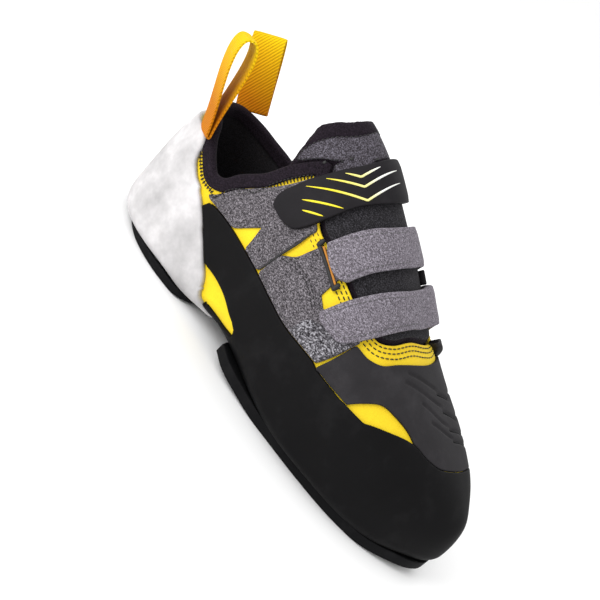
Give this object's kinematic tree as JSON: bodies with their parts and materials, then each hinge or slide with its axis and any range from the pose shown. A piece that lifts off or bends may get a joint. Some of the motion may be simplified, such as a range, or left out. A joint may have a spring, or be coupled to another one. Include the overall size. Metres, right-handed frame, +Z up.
{
  "type": "climbing shoe",
  "caption": "Low climbing shoe with a down-turned rubber toe, rubber heel cup, padded tongue, cross straps and pull loops at the heel; stands empty on its sole.",
  "frame": {"origin": "middle of the footprint of the shoe's box, on the ground", "axes": "+X from heel to toe, +Y to the inner side of the foot, +Z up"},
  "size_m": [0.259, 0.0852, 0.1229],
  "materials": {
    "upper": "soft synthetic suede, matt",
    "insole": "pressed fibre board",
    "tongue": "padded knit",
    "rand": "smooth black rubber, satin",
    "toe_patch": "matt grooved rubber",
    "heel_cup": "smooth off-white rubber, satin",
    "outsole": "smooth black rubber, matt",
    "heel_sole": "smooth black rubber, matt",
    "collar_binding": "stretch knit binding",
    "rear_quarter": "brushed grey cloth",
    "front_quarter": "brushed grey cloth",
    "inner_quarter": "brushed grey cloth",
    "top_strap": "coated strap, matt",
    "middle_strap": "brushed grey cloth",
    "front_strap": "brushed grey cloth",
    "middle_keeper": "coated tab, matt",
    "front_keeper": "coated tab, matt",
    "pull_loop_outer": "woven ribbon",
    "pull_loop_inner": "woven ribbon"
  },
  "bodies": {
    "root": {"upper": "upper", "insole": "insole", "tongue": "tongue", "rand": "rand", "toe_patch": "toe_patch", "heel_cup": "heel_cup", "outsole": "outsole", "heel_sole": "heel_sole", "collar_binding": "collar_binding", "rear_quarter": "rear_quarter", "front_quarter": "front_quarter", "inner_quarter": "inner_quarter", "top_strap": "top_strap", "middle_strap": "middle_strap", "front_strap": "front_strap", "middle_keeper": "middle_keeper", "front_keeper": "front_keeper", "pull_loop_outer": "pull_loop_outer", "pull_loop_inner": "pull_loop_inner"}
  },
  "joints": []
}
